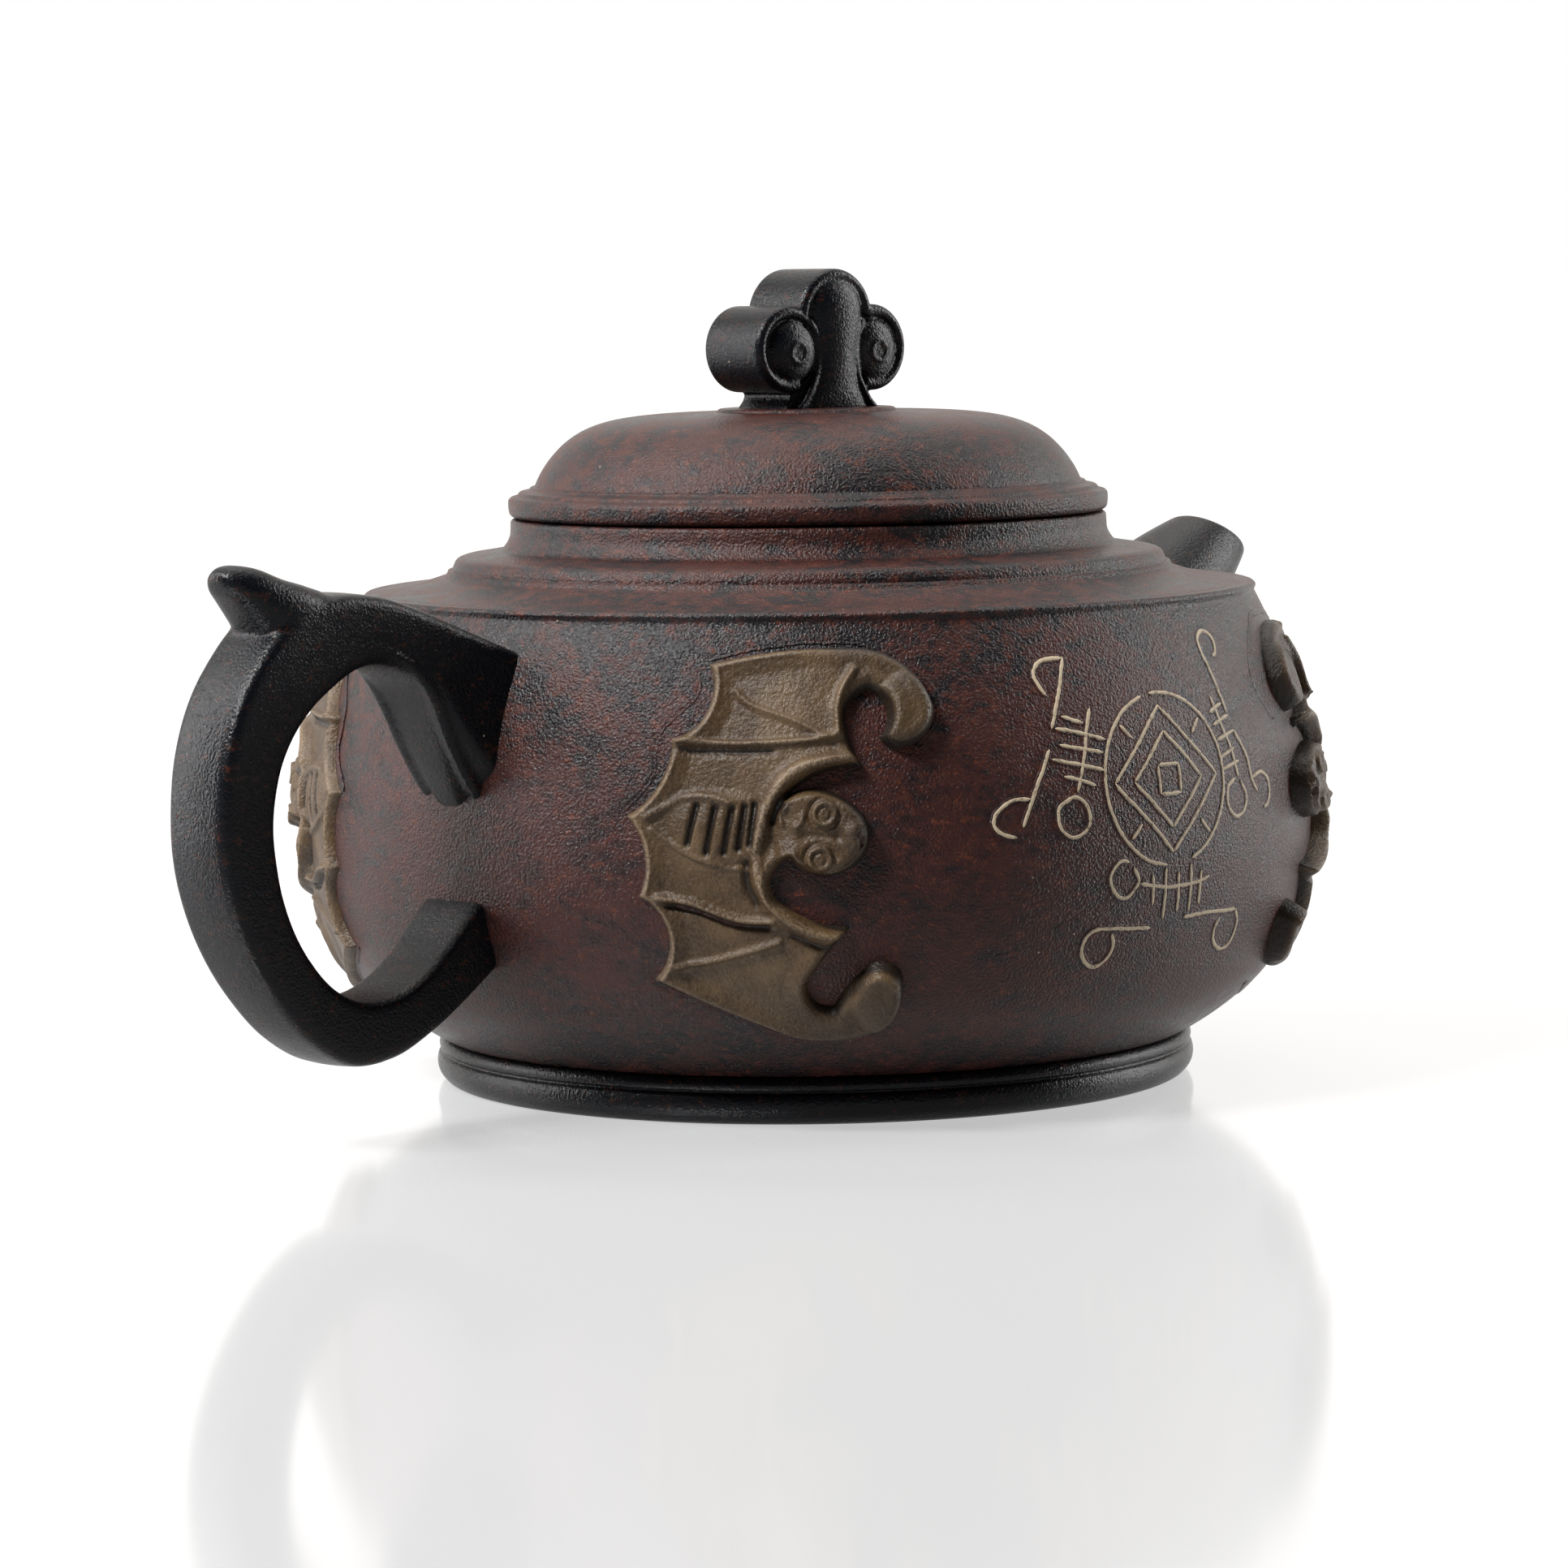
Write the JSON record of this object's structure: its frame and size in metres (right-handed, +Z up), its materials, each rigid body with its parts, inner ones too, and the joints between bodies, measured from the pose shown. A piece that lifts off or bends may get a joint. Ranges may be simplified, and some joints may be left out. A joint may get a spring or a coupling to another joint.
{
  "type": "teapot",
  "caption": "Squat drum-shaped clay teapot with a lift-off lid, cloud-shaped knob, loop handle with a thumb rest, short spout, relief bats and inlaid slip ornament.",
  "frame": {"origin": "centre of the foot ring on the table", "axes": "+X towards the spout, -X towards the handle, +Z up the pot's turning axis, -Y towards the front emblem"},
  "size_m": [0.1632, 0.1106, 0.0888],
  "materials": {
    "red_brown_clay": "satin unglazed stoneware, mottled",
    "black_clay": "satin unglazed stoneware, near black",
    "tan_clay": "satin unglazed stoneware, olive tan",
    "cream_slip": "matt pale slip"
  },
  "bodies": {
    "pot": {"foot_ring": "black_clay", "base_disc": "red_brown_clay", "shoulder_disc": "red_brown_clay", "shoulder_step": "red_brown_clay", "neck_ring": "red_brown_clay", "spout": "black_clay", "body_wall": "red_brown_clay", "strainer": "red_brown_clay", "emblem_front": "cream_slip", "emblem_back": "cream_slip", "swirls_front": "cream_slip", "swirls_back": "cream_slip", "handle": "black_clay", "handle_spur": "black_clay", "bat_front_handle_side": "tan_clay", "bat_front_spout_side": "tan_clay", "bat_back_handle_side": "tan_clay", "bat_back_spout_side": "tan_clay"},
    "lid_carrier": {"lid_flange": "red_brown_clay"},
    "lid": {"lid_rim": "red_brown_clay", "lid_dome": "red_brown_clay", "knob_pad": "red_brown_clay", "knob": "black_clay", "knob_scrolls_front": "black_clay", "knob_scrolls_back": "black_clay"}
  },
  "joints": [
    {"name": "lid_lift", "type": "slide", "parent": "pot", "child": "lid_carrier", "axis": [0, 0, 1], "range_m": [0, 0.045]},
    {"name": "lid_turn", "type": "hinge", "parent": "lid_carrier", "child": "lid", "pos_m": [0, 0, 0.06215], "axis": [0, 0, 1], "continuous": true}
  ]
}
